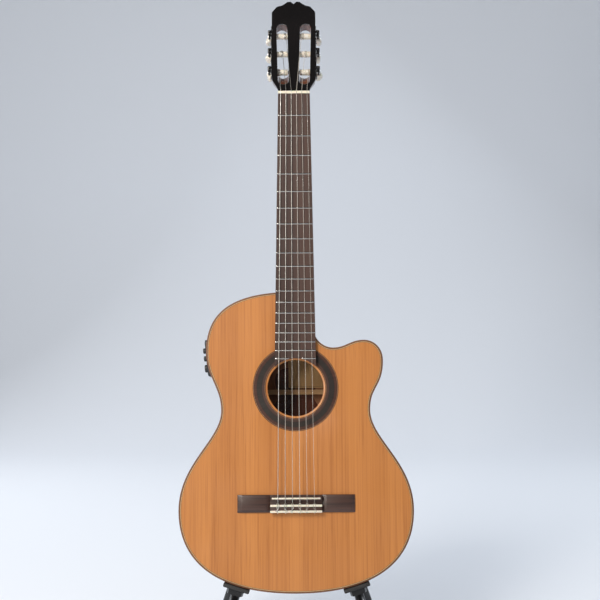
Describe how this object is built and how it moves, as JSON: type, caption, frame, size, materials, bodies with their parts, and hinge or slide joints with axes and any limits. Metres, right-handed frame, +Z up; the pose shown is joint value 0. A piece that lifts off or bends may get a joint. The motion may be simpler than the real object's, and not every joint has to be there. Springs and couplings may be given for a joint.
{
  "type": "classical guitar on stand",
  "caption": "Cutaway nylon-string guitar with geared tuners, a side preamp and an output jack, leaning on a folding A-frame floor stand with swing-out arms.",
  "frame": {"origin": "floor level under the middle of the whole object's bounding box", "axes": "+Z up, -Y to the front of the guitar, +X to its treble side"},
  "size_m": [0.3686, 0.3109, 1.0827],
  "materials": {
    "cedar": "satin lacquer",
    "mahogany": "gloss lacquer",
    "neck_wood": "satin lacquer",
    "inner_wood": "bare wood",
    "binding": "gloss lacquer",
    "rosette_wood": "inlaid wood under lacquer",
    "rosewood": "oiled",
    "black_veneer": "black gloss lacquer",
    "fret_wire": "polished nickel silver",
    "bone": "ivory coloured",
    "pearl": "pearl",
    "wound_string": "silver-plated winding",
    "nylon_string": "clear nylon",
    "dark_nickel": "black nickel",
    "screw_steel": "nickel plated",
    "black_plastic": "fine texture",
    "stand_black": "satin powder coat",
    "stand_steel": "zinc plated",
    "black_rubber": "moulded rubber"
  },
  "bodies": {
    "stand": {"stand_hub": "stand_black", "back_rest": "black_rubber", "hinge_pins": "stand_steel"},
    "guitar": {"top_plate": "cedar", "back_plate": "mahogany", "sides": "mahogany", "bindings": "binding", "linings": "inner_wood", "braces": "inner_wood", "neck_block": "inner_wood", "tail_block": "inner_wood", "rosette": "rosette_wood", "neck": "neck_wood", "headstock": "neck_wood", "head_veneer": "black_veneer", "fretboard": "rosewood", "frets": "fret_wire", "nut": "bone", "bridge": "rosewood", "saddle": "bone", "tie_strips": "bone", "bass_strings": "wound_string", "treble_strings": "nylon_string", "tuner_plate_left": "dark_nickel", "tuner_plate_right": "dark_nickel", "tuner_screws": "screw_steel", "preamp_panel": "black_plastic", "preamp_box": "black_plastic", "jack_socket": "black_plastic"},
    "left_leg": {"left_leg": "stand_black", "left_feet": "black_rubber"},
    "right_leg": {"right_leg": "stand_black", "right_feet": "black_rubber"},
    "left_arm": {"left_arm": "stand_black", "left_pad": "black_rubber"},
    "right_arm": {"right_arm": "stand_black", "right_pad": "black_rubber"},
    "tuner_e6": {"worm_e6": "dark_nickel", "button_e6": "pearl"},
    "roller_e6": {"roller_e6": "pearl"},
    "tuner_a5": {"worm_a5": "dark_nickel", "button_a5": "pearl"},
    "roller_a5": {"roller_a5": "pearl"},
    "tuner_d4": {"worm_d4": "dark_nickel", "button_d4": "pearl"},
    "roller_d4": {"roller_d4": "pearl"},
    "tuner_g3": {"worm_g3": "dark_nickel", "button_g3": "pearl"},
    "roller_g3": {"roller_g3": "pearl"},
    "tuner_b2": {"worm_b2": "dark_nickel", "button_b2": "pearl"},
    "roller_b2": {"roller_b2": "pearl"},
    "tuner_e1": {"worm_e1": "dark_nickel", "button_e1": "pearl"},
    "roller_e1": {"roller_e1": "pearl"},
    "volume_knob": {"volume_knob": "black_plastic"},
    "bass_knob": {"bass_knob": "black_plastic"},
    "treble_knob": {"treble_knob": "black_plastic"},
    "phase_button": {"phase_button": "black_plastic"}
  },
  "joints": [
    {"name": "guitar_lift", "type": "slide", "parent": "stand", "child": "guitar", "axis": [0, 0.1611, 0.9869], "range_m": [0, 0.3]},
    {"name": "left_leg_fold", "type": "hinge", "parent": "stand", "child": "left_leg", "pos_m": [-0.014, 0.09083, 0.37472], "axis": [0, -0.9848, 0.1736], "range_deg": [0, 3]},
    {"name": "left_arm_swing", "type": "hinge", "parent": "left_leg", "child": "left_arm", "pos_m": [-0.014, 0.09083, 0.37472], "axis": [-0.2924, -0.1661, -0.9418], "range_deg": [0, 100]},
    {"name": "right_leg_fold", "type": "hinge", "parent": "stand", "child": "right_leg", "pos_m": [0.014, 0.09083, 0.37472], "axis": [0, 0.9848, -0.1736], "range_deg": [0, 3]},
    {"name": "right_arm_swing", "type": "hinge", "parent": "right_leg", "child": "right_arm", "pos_m": [0.014, 0.09083, 0.37472], "axis": [-0.2924, 0.1661, 0.9418], "range_deg": [0, 100]},
    {"name": "tuner_e6_turn", "type": "hinge", "parent": "guitar", "child": "tuner_e6", "pos_m": [-0.041, 0.09495, 0.96194], "axis": [0, 0.9135, -0.4067], "continuous": true},
    {"name": "roller_e6_turn", "type": "hinge", "parent": "guitar", "child": "roller_e6", "pos_m": [-0.04, 0.09223, 0.95584], "axis": [1, 0, 0], "continuous": true},
    {"name": "tuner_a5_turn", "type": "hinge", "parent": "guitar", "child": "tuner_a5", "pos_m": [-0.041, 0.1093, 0.99419], "axis": [0, 0.9135, -0.4067], "continuous": true},
    {"name": "roller_a5_turn", "type": "hinge", "parent": "guitar", "child": "roller_a5", "pos_m": [-0.04, 0.10659, 0.98809], "axis": [1, 0, 0], "continuous": true},
    {"name": "tuner_d4_turn", "type": "hinge", "parent": "guitar", "child": "tuner_d4", "pos_m": [-0.041, 0.12366, 1.02644], "axis": [0, 0.9135, -0.4067], "continuous": true},
    {"name": "roller_d4_turn", "type": "hinge", "parent": "guitar", "child": "roller_d4", "pos_m": [-0.04, 0.12095, 1.02034], "axis": [1, 0, 0], "continuous": true},
    {"name": "tuner_g3_turn", "type": "hinge", "parent": "guitar", "child": "tuner_g3", "pos_m": [0.041, 0.12366, 1.02644], "axis": [0, 0.9135, -0.4067], "continuous": true},
    {"name": "roller_g3_turn", "type": "hinge", "parent": "guitar", "child": "roller_g3", "pos_m": [0.04, 0.12095, 1.02034], "axis": [1, 0, 0], "continuous": true},
    {"name": "tuner_b2_turn", "type": "hinge", "parent": "guitar", "child": "tuner_b2", "pos_m": [0.041, 0.1093, 0.99419], "axis": [0, 0.9135, -0.4067], "continuous": true},
    {"name": "roller_b2_turn", "type": "hinge", "parent": "guitar", "child": "roller_b2", "pos_m": [0.04, 0.10659, 0.98809], "axis": [1, 0, 0], "continuous": true},
    {"name": "tuner_e1_turn", "type": "hinge", "parent": "guitar", "child": "tuner_e1", "pos_m": [0.041, 0.09495, 0.96194], "axis": [0, 0.9135, -0.4067], "continuous": true},
    {"name": "roller_e1_turn", "type": "hinge", "parent": "guitar", "child": "roller_e1", "pos_m": [0.04, 0.09223, 0.95584], "axis": [1, 0, 0], "continuous": true},
    {"name": "volume_knob_turn", "type": "hinge", "parent": "guitar", "child": "volume_knob", "pos_m": [-0.14306, 0.0387, 0.49772], "axis": [-0.9945, -0.0182, -0.1029], "range_deg": [-135, 135]},
    {"name": "bass_knob_turn", "type": "hinge", "parent": "guitar", "child": "bass_knob", "pos_m": [-0.14173, 0.03649, 0.48518], "axis": [-0.9945, -0.0182, -0.1029], "range_deg": [-135, 135]},
    {"name": "treble_knob_turn", "type": "hinge", "parent": "guitar", "child": "treble_knob", "pos_m": [-0.14003, 0.03369, 0.46932], "axis": [-0.9945, -0.0182, -0.1029], "range_deg": [-135, 135]},
    {"name": "phase_button_push", "type": "slide", "parent": "guitar", "child": "phase_button", "axis": [0.9945, 0.0182, 0.1029], "range_m": [0, 0.0015], "stiffness_N_per_m": 200, "springref_m": -0.001}
  ],
  "couplings": [
    {"joint": "roller_e6_turn", "follows": "tuner_e6_turn", "ratio": 0.071429},
    {"joint": "roller_a5_turn", "follows": "tuner_a5_turn", "ratio": 0.071429},
    {"joint": "roller_d4_turn", "follows": "tuner_d4_turn", "ratio": 0.071429},
    {"joint": "roller_g3_turn", "follows": "tuner_g3_turn", "ratio": 0.071429},
    {"joint": "roller_b2_turn", "follows": "tuner_b2_turn", "ratio": 0.071429},
    {"joint": "roller_e1_turn", "follows": "tuner_e1_turn", "ratio": 0.071429}
  ]
}
